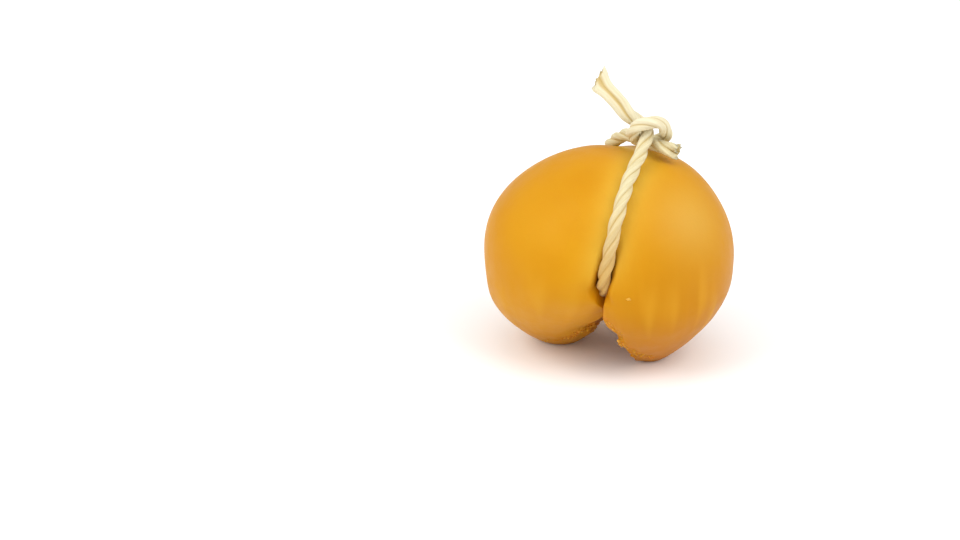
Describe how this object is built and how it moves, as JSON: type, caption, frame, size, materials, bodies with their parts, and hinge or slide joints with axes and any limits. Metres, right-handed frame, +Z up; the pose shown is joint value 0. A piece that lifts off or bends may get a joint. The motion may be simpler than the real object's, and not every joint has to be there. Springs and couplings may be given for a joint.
{
  "type": "smoked scamorza cheese",
  "caption": "Ball of smoked stretched-curd cheese, tied tightly round its middle with a twisted cord knotted on top, standing on the ends of its lobes.",
  "frame": {"origin": "middle of the footprint, on the surface that the cheese stands on", "axes": "+Z up towards the knot, +X from the left lobe to the right lobe, +Y from the front strand of the tie to the back strand"},
  "size_m": [0.0909, 0.0782, 0.1065],
  "materials": {
    "cheese": "satin, waxy",
    "cord": "matte"
  },
  "bodies": {
    "root": {"cheese": "cheese", "cord": "cord"}
  },
  "joints": []
}
